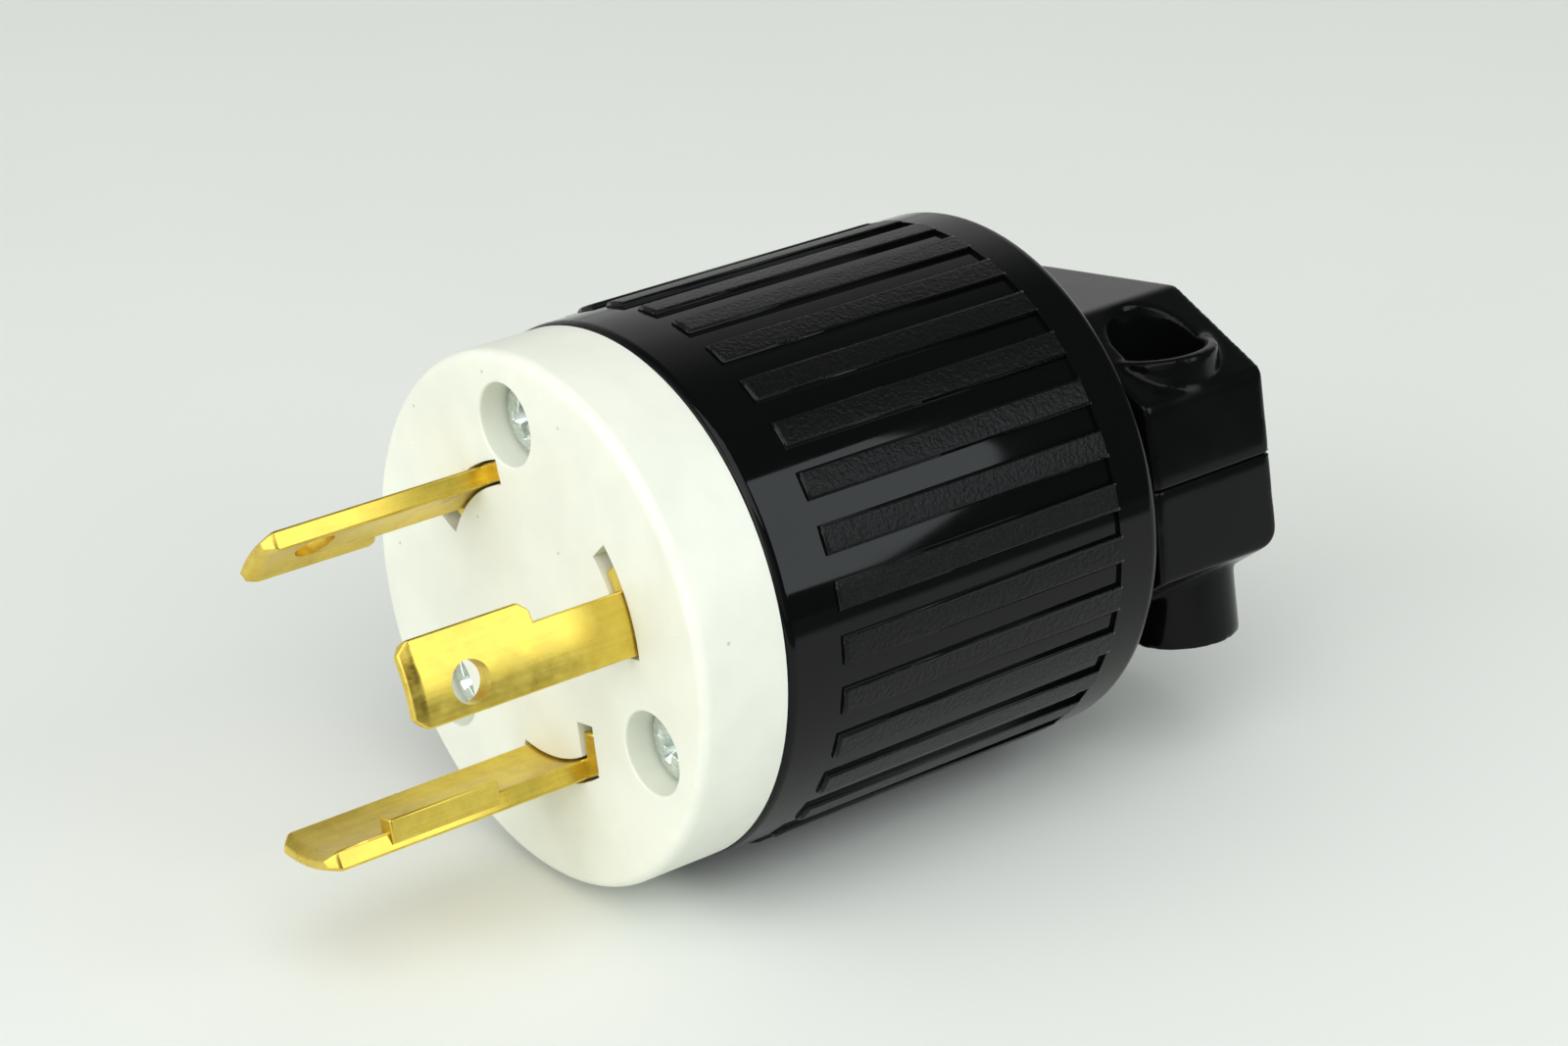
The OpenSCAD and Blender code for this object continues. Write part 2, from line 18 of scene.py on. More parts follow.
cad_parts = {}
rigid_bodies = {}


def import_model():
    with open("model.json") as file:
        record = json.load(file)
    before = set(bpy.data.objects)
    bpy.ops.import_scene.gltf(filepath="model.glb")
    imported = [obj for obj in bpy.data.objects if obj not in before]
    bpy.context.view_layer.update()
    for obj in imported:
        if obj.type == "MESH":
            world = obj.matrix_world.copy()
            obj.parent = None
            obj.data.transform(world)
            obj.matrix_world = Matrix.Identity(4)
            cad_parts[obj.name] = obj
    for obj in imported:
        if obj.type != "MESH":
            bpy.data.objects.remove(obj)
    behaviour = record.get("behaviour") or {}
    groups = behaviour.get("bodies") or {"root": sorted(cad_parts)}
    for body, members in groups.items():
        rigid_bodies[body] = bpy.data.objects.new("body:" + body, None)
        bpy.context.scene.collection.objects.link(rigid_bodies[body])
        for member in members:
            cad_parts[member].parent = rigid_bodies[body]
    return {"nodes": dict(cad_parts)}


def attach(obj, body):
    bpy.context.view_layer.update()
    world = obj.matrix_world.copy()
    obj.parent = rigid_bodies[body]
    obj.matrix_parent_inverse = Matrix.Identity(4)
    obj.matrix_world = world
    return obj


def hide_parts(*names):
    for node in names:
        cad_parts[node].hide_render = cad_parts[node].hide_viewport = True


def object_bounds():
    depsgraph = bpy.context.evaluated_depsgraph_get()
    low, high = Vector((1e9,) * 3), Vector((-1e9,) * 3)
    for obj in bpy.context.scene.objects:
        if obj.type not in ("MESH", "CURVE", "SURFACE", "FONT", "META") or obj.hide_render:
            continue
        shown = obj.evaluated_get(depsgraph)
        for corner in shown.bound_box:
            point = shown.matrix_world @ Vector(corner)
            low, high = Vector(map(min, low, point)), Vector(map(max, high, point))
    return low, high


for leftover in list(bpy.data.objects):
    bpy.data.objects.remove(leftover)

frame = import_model()
bpy.context.view_layer.update()
cad_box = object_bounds()
nodes = frame["nodes"]
MM = 0.001
print("pieces in the frame:", len(nodes))
print("box in mm:", [[round(v / MM, 2) for v in corner] for corner in cad_box])

# %% [markdown]
# ## Colour and nodes
#
# Colours are picked as sRGB hex values, as they would be on a paint chart, but a shader works with linear
# light. One function does that change. Another adds a node to a material, sets its values and links its
# inputs, so that each material below reads as a list of what it is made of.

# %% Helpers for materials
def srgb(hex_colour):
    """Linear RGBA from an sRGB hex value."""
    parts = [int(hex_colour[i:i + 2], 16) / 255 for i in (1, 3, 5)]
    return [p / 12.92 if p <= 0.04045 else ((p + 0.055) / 1.055) ** 2.4 for p in parts] + [1.0]


def add(tree, kind, settings=(), **links):
    """Adds a node to a tree.

    Settings are pairs of a name and a value, for the node's properties, its inputs or the stops of its
    colour ramp. Links give an input's name, or in_ and its number, and the socket that feeds it.
    """
    node = tree.nodes.new("ShaderNode" + kind)
    for name, value in settings:
        if name == "stops":
            for stop, (position, hex_colour) in zip(node.color_ramp.elements, value):
                stop.position, stop.color = position, srgb(hex_colour)
        elif isinstance(name, str) and name in node.bl_rna.properties:
            setattr(node, name, value)
        else:
            node.inputs[name].default_value = value
    for name, source in links.items():
        key = int(name[3:]) if name.startswith("in_") else name.replace("_", " ")
        tree.links.new(source, node.inputs[key])
    return node


def new_finish(name):
    """An empty material: returns it, its node tree, its shader and the Object coordinates."""
    material = bpy.data.materials.new(name)
    material.use_nodes = True
    tree = material.node_tree
    shader = tree.nodes["Principled BSDF"]
    place = add(tree, "TexCoord").outputs["Object"]
    return material, tree, shader, place


# %% [markdown]
# ## White nylon
#
# The nose is injection-moulded nylon. It is satin rather than glossy, lets a little light in below its
# surface, and has the faint cloudiness of a part that came out of a warm tool. Tiny dark specks and a very
# light moulded grain keep it from looking like paper. The clouds are a few millimetres wide, the specks about
# a quarter of a millimetre, and only some of the cells that could hold a speck have one.

# %% Moulded white nylon
white_nylon, tree, shader, place = new_finish("moulded_white_nylon")
CLOUD = 7 * MM
SPECK_SPACING = 3.2 * MM
SPECK = 0.22 * MM
SPECK_SHARE = 0.28
SPECK_DEPTH = 0.45
GRAIN = 0.35 * MM
clouds = add(tree, "TexNoise", [("Scale", 1 / CLOUD), ("Detail", 3.0)], Vector=place)
tint = add(tree, "ValToRGB", [("stops", [(0.35, "#e8ebdf"), (0.65, "#eff2e5")])],
           Fac=clouds.outputs["Fac"])
cells = add(tree, "TexVoronoi", [("Scale", 1 / SPECK_SPACING)], Vector=place)
is_speck = add(tree, "MapRange", [("From Min", 0.5 * SPECK / SPECK_SPACING),
                                  ("From Max", SPECK / SPECK_SPACING), ("To Min", 1.0), ("To Max", 0.0)],
               Value=cells.outputs["Distance"])
pick = add(tree, "SeparateColor", Color=cells.outputs["Color"])
few = add(tree, "Math", [("operation", "GREATER_THAN"), (1, 1 - SPECK_SHARE)], in_0=pick.outputs["Red"])
shown = add(tree, "Math", [("operation", "MULTIPLY")], in_0=is_speck.outputs["Result"],
            in_1=few.outputs["Value"])
faint = add(tree, "Math", [("operation", "MULTIPLY"), (1, SPECK_DEPTH)], in_0=shown.outputs["Value"])
colour = add(tree, "Mix", [("data_type", "RGBA"), (7, srgb("#8d8a7c"))], in_0=faint.outputs["Value"],
             in_6=tint.outputs["Color"])
grain = add(tree, "TexNoise", [("Scale", 1 / GRAIN), ("Detail", 2.0)], Vector=place)
relief = add(tree, "Bump", [("Strength", 0.12), ("Distance", 0.02 * MM)], Height=grain.outputs["Fac"])
tree.links.new(colour.outputs[2], shader.inputs["Base Color"])
tree.links.new(relief.outputs["Normal"], shader.inputs["Normal"])
shader.inputs["Roughness"].default_value = 0.42
shader.inputs["IOR"].default_value = 1.53
shader.inputs["Subsurface Weight"].default_value = 0.2
shader.inputs["Subsurface Radius"].default_value = (1.2 * MM, 1.1 * MM, 0.8 * MM)
shader.inputs["Subsurface Scale"].default_value = 1.0
print("made", white_nylon.name, "with", len(tree.nodes), "nodes")

# %% [markdown]
# ## Black nylon of the housing
#
# The housing is one moulding with two finishes cut into the tool: the pads are spark-eroded, so they are
# duller and grained, and everything else is polished. The finish is told apart by the distance from the
# plug's axis, which only the pad tops exceed, and by the stretch of the axis that the pads take, because the
# collar is almost as wide. The grain fades in just below the pad tops. The real grain is about a quarter of a
# millimetre; it is drawn nearly twice as coarse, because a finer one would not show at this size.

# %% Moulded black nylon, with grained pads
black_housing, tree, shader, place = new_finish("moulded_black_nylon_grained")
PAD_TOP = 25.4 * MM
PAD_FROM, PAD_TO = -47.0 * MM, -14.8 * MM
FADE_FROM, FADE_TO = 0.1 * MM, 0.03 * MM
SPARK_GRAIN = 0.45 * MM
SMEAR = 9 * MM
across = add(tree, "VectorMath", [("operation", "MULTIPLY"), (1, (0, 1, 1))], in_0=place)
radius = add(tree, "VectorMath", [("operation", "LENGTH")], in_0=across.outputs["Vector"])
high = add(tree, "MapRange", [("From Min", PAD_TOP - FADE_FROM), ("From Max", PAD_TOP - FADE_TO)],
           Value=radius.outputs["Value"])
along = add(tree, "SeparateXYZ", Vector=place)
behind_band = add(tree, "Math", [("operation", "LESS_THAN"), (1, PAD_TO)], in_0=along.outputs["X"])
before_collar = add(tree, "Math", [("operation", "GREATER_THAN"), (1, PAD_FROM)], in_0=along.outputs["X"])
in_rows = add(tree, "Math", [("operation", "MULTIPLY")], in_0=behind_band.outputs["Value"],
              in_1=before_collar.outputs["Value"])
on_pad = add(tree, "Math", [("operation", "MULTIPLY")], in_0=high.outputs["Result"],
             in_1=in_rows.outputs["Value"])
sparks = add(tree, "TexNoise", [("Scale", 1 / SPARK_GRAIN), ("Detail", 3.0), ("Roughness", 0.6)],
             Vector=place)
height = add(tree, "Math", [("operation", "MULTIPLY")], in_0=sparks.outputs["Fac"],
             in_1=on_pad.outputs["Value"])
relief = add(tree, "Bump", [("Strength", 1.0), ("Distance", 0.11 * MM)], Height=height.outputs["Value"])
smears = add(tree, "TexNoise", [("Scale", 1 / SMEAR), ("Detail", 4.0)], Vector=place)
polish = add(tree, "MapRange", [("From Min", 0.3), ("From Max", 0.7), ("To Min", 0.03), ("To Max", 0.07)],
             Value=smears.outputs["Fac"])
rough = add(tree, "Mix", [("data_type", "FLOAT"), (3, 0.29)], in_0=on_pad.outputs["Value"],
            in_2=polish.outputs["Result"])
colour = add(tree, "Mix", [("data_type", "RGBA"), (6, srgb("#080909")), (7, srgb("#0c0d0d"))],
             in_0=on_pad.outputs["Value"])
tree.links.new(colour.outputs[2], shader.inputs["Base Color"])
tree.links.new(rough.outputs[0], shader.inputs["Roughness"])
tree.links.new(relief.outputs["Normal"], shader.inputs["Normal"])
shader.inputs["Specular IOR Level"].default_value = 0.2
print("made", black_housing.name, "with", len(tree.nodes), "nodes")

# %% [markdown]
# ## Black nylon of the clamp
#
# The clamp halves come from a plainer tool. Their skin is smooth but less polished than the band, with flow
# clouds where the nylon cooled at different speeds, so the roughness wanders and the surface is a bit wavy.

# %% Moulded black nylon, plain
black_clamp, tree, shader, place = new_finish("moulded_black_nylon_plain")
FLOW = 5 * MM
flow = add(tree, "TexNoise", [("Scale", 1 / FLOW), ("Detail", 4.0), ("Distortion", 0.6)], Vector=place)
polish = add(tree, "MapRange", [("From Min", 0.3), ("From Max", 0.7), ("To Min", 0.09), ("To Max", 0.2)],
             Value=flow.outputs["Fac"])
relief = add(tree, "Bump", [("Strength", 0.1), ("Distance", 0.2 * MM)], Height=flow.outputs["Fac"])
tree.links.new(polish.outputs["Result"], shader.inputs["Roughness"])
tree.links.new(relief.outputs["Normal"], shader.inputs["Normal"])
shader.inputs["Base Color"].default_value = srgb("#0a0b0b")
shader.inputs["Specular IOR Level"].default_value = 0.14
print("made", black_clamp.name, "with", len(tree.nodes), "nodes")

# %% [markdown]
# ## Brass
#
# The blades are punched from bare brass strip and tumbled. The strip was rolled lengthwise, which leaves
# faint streaks along each blade, and the drum has mottled them with soft patches and fine dents. The streaks
# are drawn about a third of a millimetre wide, coarser than real roll marks, because finer ones would not
# show at this size.

# %% Rolled brass
brass, tree, shader, place = new_finish("rolled_brass")
STREAK_WIDTH = 0.3 * MM
STREAK_LENGTH = 9 * MM
PATCH = 2.4 * MM
PATCH_SHARE = 0.7
stretch = add(tree, "VectorMath", [("operation", "MULTIPLY"),
                                   (1, (1 / STREAK_LENGTH, 1 / STREAK_WIDTH, 1 / STREAK_WIDTH))], in_0=place)
streaks = add(tree, "TexNoise", [("Scale", 1.0), ("Detail", 3.0)], Vector=stretch.outputs["Vector"])
patches = add(tree, "TexNoise", [("Scale", 1 / PATCH), ("Detail", 6.0), ("Roughness", 0.65)], Vector=place)
both = add(tree, "Mix", [("data_type", "FLOAT"), (0, PATCH_SHARE)], in_2=streaks.outputs["Fac"],
           in_3=patches.outputs["Fac"])
tone = add(tree, "ValToRGB", [("stops", [(0.38, "#dcbd50"), (0.62, "#f0d765")])], Fac=both.outputs[0])
rough = add(tree, "MapRange", [("From Min", 0.35), ("From Max", 0.65), ("To Min", 0.25), ("To Max", 0.43)],
            Value=both.outputs[0])
relief = add(tree, "Bump", [("Strength", 0.3), ("Distance", 0.05 * MM)], Height=both.outputs[0])
tree.links.new(tone.outputs["Color"], shader.inputs["Base Color"])
tree.links.new(rough.outputs["Result"], shader.inputs["Roughness"])
tree.links.new(relief.outputs["Normal"], shader.inputs["Normal"])
shader.inputs["Metallic"].default_value = 1.0
print("made", brass.name, "with", len(tree.nodes), "nodes")

# %% [markdown]
# ## Zinc plate and the green screw
#
# The screws of the face and the clamp and the pressure plates are steel with a thin pale zinc plate, bright
# but never mirror-smooth. Hidden inside the plug, the screws of the line terminals are brass, and that of the
# ground terminal is dyed green, as wiring rules ask.

# %% Zinc-plated steel
zinc, tree, shader, place = new_finish("zinc_plated_steel")
CRYSTAL = 0.5 * MM
crystals = add(tree, "TexNoise", [("Scale", 1 / CRYSTAL), ("Detail", 3.0)], Vector=place)
tone = add(tree, "ValToRGB", [("stops", [(0.3, "#d0dad6"), (0.7, "#f0f5f1")])], Fac=crystals.outputs["Fac"])
rough = add(tree, "MapRange", [("From Min", 0.3), ("From Max", 0.7), ("To Min", 0.22), ("To Max", 0.36)],
            Value=crystals.outputs["Fac"])
relief = add(tree, "Bump", [("Strength", 0.15), ("Distance", 0.03 * MM)], Height=crystals.outputs["Fac"])
tree.links.new(tone.outputs["Color"], shader.inputs["Base Color"])
tree.links.new(rough.outputs["Result"], shader.inputs["Roughness"])
tree.links.new(relief.outputs["Normal"], shader.inputs["Normal"])
shader.inputs["Metallic"].default_value = 1.0
print("made", zinc.name, "with", len(tree.nodes), "nodes")

# %% Green-dyed steel
green, tree, shader, place = new_finish("green_dyed_steel")
crystals = add(tree, "TexNoise", [("Scale", 1 / CRYSTAL), ("Detail", 3.0)], Vector=place)
tone = add(tree, "ValToRGB", [("stops", [(0.0, "#1e5a35"), (1.0, "#3f8a58")])], Fac=crystals.outputs["Fac"])
tree.links.new(tone.outputs["Color"], shader.inputs["Base Color"])
shader.inputs["Metallic"].default_value = 1.0
shader.inputs["Roughness"].default_value = 0.35
print("made", green.name, "with", len(tree.nodes), "nodes")

# %% [markdown]
# ## Each piece takes its finish
#
# A frame piece keeps its mesh, and only the material in its slot is changed.

# %% Finishes on the pieces
FINISHES = {
    "nose": white_nylon, "terminal_carrier": white_nylon, "housing": black_housing,
    "cord_clamp_upper": black_clamp, "cord_clamp_lower": black_clamp,
    "line_blade_1": brass, "line_blade_2": brass, "ground_blade": brass, "line_terminal_screws": brass,
    "ground_terminal_screw": green, "face_screws": zinc, "cord_clamp_screws": zinc,
    "wire_plate_1": zinc, "wire_plate_2": zinc, "wire_plate_ground": zinc,
}
for name, finish in FINISHES.items():
    for i in range(len(nodes[name].data.materials)):
        nodes[name].data.materials[i] = finish
print("finishes set on", len(FINISHES), "pieces")

# %% [markdown]
# ## Copies that stand for a piece
#
# The frame's meshes aren't touched. Where a piece needs softer edges, a copy of its mesh is worked on, and
# the finished copy becomes a new piece that rides on the plug and stands for the frame's piece.

# %% A new piece from a finished shape
JOIN = 0.001 * MM


def copy_of(name):
    """A bmesh of a frame piece, with its loose triangles joined."""
    shape = bmesh.new()
    shape.from_mesh(nodes[name].data)
    bmesh.ops.remove_doubles(shape, verts=shape.verts, dist=JOIN)
    return shape


def stand_for(name, ending, shape, normals=None):
    """Makes a smooth-shaded piece of a finished shape, which stands for a frame piece."""
    for face in shape.faces:
        face.smooth = True
    mesh = bpy.data.meshes.new(name + ending)
    shape.to_mesh(mesh)
    shape.free()
    if normals:
        mesh.normals_split_custom_set(normals)
    mesh.materials.append(FINISHES[name])
    piece = bpy.data.objects.new(mesh.name, mesh)
    bpy.context.collection.objects.link(piece)
    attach(piece, "root")
    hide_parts(name)
    print(piece.name, "has", len(mesh.polygons), "faces")


# %% [markdown]
# ## Rounded edges
#
# No moulded or punched edge is perfectly sharp, and the thin light lines round the pads and the blades come
# from that small rounding. On the copy, flat neighbours are first merged into whole faces, and then the
# chosen outer edges are bevelled. A bevel modifier would round the hidden edges too and would choke on the
# shortest of them, so the edges are chosen by where they are.

# %% Which faces are round
MOSTLY_OUTWARDS = 0.98


def off_axis(point):
    """Distance of a point from the plug's axis."""
    return math.hypot(point.y, point.z)


def outwards(point):
    """Direction from the plug's axis to a point."""
    return Vector((0, point.y, point.z)).normalized()


def is_turned(face):
    """Whether a face is part of a cylinder round the plug's axis."""
    reach = [off_axis(v.co) for v in face.verts]
    facing = abs(face.normal.dot(outwards(face.calc_center_median())))
    return max(reach) - min(reach) < 2 * JOIN and facing > MOSTLY_OUTWARDS


# %% [markdown]
# Shading needs the same care as shape. A round face takes the direction straight out from the axis, a flat
# face keeps its own, and a rounded edge turns from one to the other. Without this the broad faces would look
# dented beside every rounded edge, and the polished band would show its facets.

# %% Shading of a rounded copy
SMOOTH = math.radians(30)
NO_ANGLE = 9  # more than any real angle, for a face that has no normal
TINY = 1e-12  # a weight that counts only where there is no other


def corner_normals(shape, rounding):
    """One normal for each face corner, in the order of the mesh."""
    turned = {f for f in shape.faces if f not in rounding and is_turned(f)}

    def plain(face, vert):
        if face in turned:
            out = outwards(vert.co)
            return out if out.dot(face.normal) > 0 else -out
        near = [f for f in vert.link_faces
                if f not in rounding and f.normal.angle(face.normal, NO_ANGLE) < SMOOTH]
        return sum((f.normal * f.calc_area() for f in near), face.normal * TINY).normalized()

    def eased(vert):
        whole = [f for f in vert.link_faces if f not in rounding]
        if whole:
            return sum((plain(f, vert) * f.calc_area() for f in whole), Vector()).normalized()
        return sum((f.normal for f in vert.link_faces), Vector()).normalized()

    return [eased(v) if f in rounding else plain(f, v) for f in shape.faces for v in f.verts]


# %% [markdown]
# The bevel leaves a few faces without area where short edges meet, so these are merged away before the
# shading is worked out.

# %% Rounding of chosen edges
SHARP = math.radians(35)
FLAT = math.radians(0.2)


def round_edges(name, width, segments, chosen, first=None):
    """A copy of a frame piece with its chosen sharp outer edges rounded, which stands for the piece.

    Where first is given, it changes the copy before the rounding.
    """
    shape = copy_of(name)
    bmesh.ops.dissolve_limit(shape, angle_limit=FLAT, verts=shape.verts, edges=shape.edges)
    if first:
        first(shape)
    edges = [e for e in shape.edges
             if len(e.link_faces) == 2 and e.calc_face_angle_signed() > SHARP and chosen(e)]
    bevel = bmesh.ops.bevel(shape, geom=edges, offset=width, offset_type="OFFSET", affect="EDGES",
                            segments=segments, profile=0.5, loop_slide=False, clamp_overlap=False,
                            material=-1)
    bmesh.ops.remove_doubles(shape, verts=shape.verts, dist=JOIN)
    bmesh.ops.dissolve_degenerate(shape, dist=JOIN, edges=shape.edges)
    shape.normal_update()
    print(name, "has", len(edges), "edges rounded by", round(width / MM, 2), "mm")
    stand_for(name, "_rounded", shape, corner_normals(shape, {f for f in bevel["faces"] if f.is_valid}))


# %% [markdown]
# The pads are rounded on top, at the sides and at the front. At the back they lie on the collar.

# %% Pads of the housing
NEAR = 0.05 * MM  # closer than this counts as touching
PAD_BACK = -47.2 * MM
PAD_ROUND = 0.36 * MM


def on_pad_rim(edge):
    """The rim of a pad's top, apart from its back end."""
    ends = [v.co for v in edge.verts]
    at_top = all(off_axis(p) > PAD_TOP - NEAR for p in ends)
    return at_top and max(p.x for p in ends) > PAD_BACK + 2 * NEAR


round_edges("housing", PAD_ROUND, segments=3, chosen=on_pad_rim)

# %% [markdown]
# On the nose the mouths of the screw holes are rounded, but not the slots, one of which comes too close to a
# screw hole for that.

# %% Screw holes of the nose
SCREW_CIRCLE = 18.1 * MM
SCREW_ANGLES = [math.radians(a) for a in (101.25, -138.75, -18.75)]
SCREW_SPOTS = [Vector((0, math.cos(a), math.sin(a))) * SCREW_CIRCLE for a in SCREW_ANGLES]
MOUTH_R = 3.8 * MM
MOUTH_ROUND = 0.25 * MM
FACE_DEPTH = 0.01 * MM


def on_screw_mouth(edge):
    """The mouths of the three screw holes in the nose's face."""
    ends = [v.co for v in edge.verts]
    at_face = all(p.x > -FACE_DEPTH for p in ends)
    return at_face and any(all(abs((p - spot).length - MOUTH_R) < 2 * NEAR for p in ends)
                           for spot in SCREW_SPOTS)


round_edges("nose", MOUTH_ROUND, segments=3, chosen=on_screw_mouth)

# %% [markdown]
# On the blades it is every edge that stands out of the nose, as the punch and the tumbling drum leave it. The
# shortest edges can't carry the rounding.

# %% Bare parts of the blades
BARE_FROM = -1 * MM
SHORTEST = 0.3 * MM
BLADE_ROUND = 0.22 * MM


def on_bare_blade(edge):
    """Edges that stand out of the nose and are long enough to carry the rounding."""
    return edge.calc_length() > SHORTEST and all(v.co.x > BARE_FROM for v in edge.verts)


for name in ("line_blade_1", "line_blade_2", "ground_blade"):
    round_edges(name, BLADE_ROUND, segments=3, chosen=on_bare_blade)

# %% [markdown]
# The cross recess of a screw tapers towards its floor, so that the driver seats itself, and its slopes mirror
# the room in bright facets. The recess in the frame is straight, so on the copy its floor is drawn together
# first. Then the mouth of the recess and the rim of the head are rounded.

# %% Screws in the face
RECESS_FLOOR = -3.46 * MM
RECESS_TAPER = 0.35
HEAD_R = 3.4 * MM
HEAD_RIM = -2.72 * MM
HEAD_ROUND = 0.12 * MM


def taper_recesses(shape):
    """Draws the floor of each cross recess together, towards the axis of its screw."""
    at_depth = [v for v in shape.verts if abs(v.co.x - RECESS_FLOOR) < NEAR]
    for spot in SCREW_SPOTS:
        floor = [v for v in at_depth if off_axis(v.co - spot) < HEAD_R]
        bmesh.ops.scale(shape, verts=floor, vec=(1, RECESS_TAPER, RECESS_TAPER),
                        space=Matrix.Translation(-spot))


def on_head_front(edge):
    """The rim of a screw's head and the mouth of its recess."""
    return all(v.co.x > HEAD_RIM - NEAR for v in edge.verts)


round_edges("face_screws", HEAD_ROUND, segments=2, chosen=on_head_front, first=taper_recesses)

# %% [markdown]
# ## Soft clamp halves
#
# The clamp is a softer moulding than the housing: its edges are round, and the collars of its screws flow
# into the sloping roofs. A bevel can't follow the seam between a round collar and a slope, so a copy of each
# half is remeshed into small even faces, like clay, and rubbed smooth. The clamp lies rolled by 11.25
# degrees, and small square faces leave ripples on an edge that crosses them at a slant, so the copy is rolled
# level first and back at the end. Before the remesh, two bars square its outer edges at the split, where the
# halves close to a thin line.

# %% The clamp's own frame, and the bars at the split
CLAMP_ROLL = Matrix.Rotation(math.radians(11.25), 3, "X")
CLAMP_MIDDLE = -62.35 * MM
CLAMP_LENGTH = 15.3 * MM
CLAMP_HALF_WIDTH = 21.65 * MM
CLAMP_CORNER = 1 * MM
BAR_DEPTH, BAR_HEIGHT = 3 * MM, 1.2 * MM
SPLIT_HALF = 0.03 * MM


def add_bar(shape, up, out):
    """A bar that squares a half's outer edge at the split."""
    bar = bmesh.ops.create_cube(shape, size=1)["verts"]
    bmesh.ops.scale(shape, verts=bar, vec=(CLAMP_LENGTH, BAR_DEPTH, BAR_HEIGHT))
    standing = {e for v in bar for e in v.link_edges
                if abs(e.verts[0].co.z - e.verts[1].co.z) > JOIN and e.verts[0].co.y * out > 0}
    aside, above = CLAMP_HALF_WIDTH - BAR_DEPTH / 2, SPLIT_HALF + BAR_HEIGHT / 2
    bmesh.ops.translate(shape, verts=bar, vec=(CLAMP_MIDDLE, out * aside, up * above))
    bmesh.ops.bevel(shape, geom=list(standing), offset=CLAMP_CORNER, offset_type="OFFSET", affect="EDGES",
                    segments=6, profile=0.5, material=-1)


print("the halves close to", round(2 * SPLIT_HALF / MM, 2), "mm")

# %% [markdown]
# The frame rounds the back corner beside each boss only as far as the boss. On the copy the whole back edge
# of the roof beside the boss is round: a wedge fills the short rounding, and once the copy is clay, its
# points near that edge are drawn in to a quarter circle. The roof there slopes from the shoulder up to the
# flat top.

# %% The back edge of the roof beside a boss
CLAMP_BACK = CLAMP_MIDDLE - CLAMP_LENGTH / 2
EDGE_R = 2 * MM
SHOULDER = Vector((0, -21.4, 9)) * MM
ROOF_TOP = Vector((0, -10.5, 15)) * MM
ROOF_OUT = Vector((1, 0, 0)).cross(ROOF_TOP - SHOULDER).normalized()
WEDGE_SIZE = (2.9 * MM, 5.2 * MM, 8 * MM)
WEDGE_IN, WEDGE_ASIDE, WEDGE_UP = 1.5 * MM, 18.7 * MM, 9 * MM


def fill_corner(shape, up):
    """A wedge under the roof, at the back corner beside the boss."""
    wedge = bmesh.ops.create_cube(shape, size=1)["verts"]
    bmesh.ops.scale(shape, verts=wedge, vec=WEDGE_SIZE)
    bmesh.ops.translate(shape, verts=wedge, vec=(CLAMP_BACK + WEDGE_IN, -up * WEDGE_ASIDE, up * WEDGE_UP))
    edges = list({e for v in wedge for e in v.link_edges})
    faces = list({f for v in wedge for f in v.link_faces})
    cut = bmesh.ops.bisect_plane(shape, geom=wedge + edges + faces, dist=JOIN, plane_co=up * SHOULDER,
                                 plane_no=up * ROOF_OUT, clear_outer=True)
    rim = [e for e in cut["geom_cut"] if isinstance(e, bmesh.types.BMEdge)]
    bmesh.ops.edgenet_fill(shape, edges=rim)


def draw_in(point, up):
    """A point near the back edge of the roof, drawn in to the quarter circle there."""
    rise = ROOF_OUT.dot(up * point - SHOULDER)
    back, above = CLAMP_BACK + EDGE_R - point.x, rise + EDGE_R
    reach = math.hypot(back, above)
    if back < 0 or above < 0 or reach <= EDGE_R or point.y * up > 0:
        return point
    shrink = EDGE_R / reach - 1
    return point + Vector((-back * shrink, 0, 0)) + up * above * shrink * ROOF_OUT


print("the roof rises by", round((ROOF_TOP - SHOULDER).z / MM, 1), "mm")

# %% [markdown]
# The remesh is a modifier, so the shape is put into an object for a moment and the result is read back.

# %% Clay
CLAY = 0.26 * MM


def to_clay(shape):
    """A shape remeshed into small even faces, as a new bmesh."""
    mesh = bpy.data.meshes.new("lump")
    shape.to_mesh(mesh)
    shape.free()
    lump = bpy.data.objects.new("lump", mesh)
    bpy.context.collection.objects.link(lump)
    remesh = lump.modifiers.new("clay", "REMESH")
    remesh.mode, remesh.voxel_size = "VOXEL", CLAY
    even = bpy.data.meshes.new_from_object(lump.evaluated_get(bpy.context.evaluated_depsgraph_get()))
    clay = bmesh.new()
    clay.from_mesh(even)
    bpy.data.objects.remove(lump)
    bpy.data.meshes.remove(mesh)
    bpy.data.meshes.remove(even)
    return clay


print("clay of", round(CLAY / MM, 2), "mm")

# %% [markdown]
# The faces where the halves meet and the holes of the screws aren't rubbed.

# %% Rubbed copies of the clamp halves
RUBS = 7
SPLIT_EDGE = 0.3 * MM
CLAMP_SCREW = 15.4 * MM
HOLE_EDGE = 3 * MM


def from_clamp_screw(point):
    """Distance of a point from the axis of the nearer clamp screw."""
    return math.hypot(point.x - CLAMP_MIDDLE, abs(point.y) - CLAMP_SCREW)


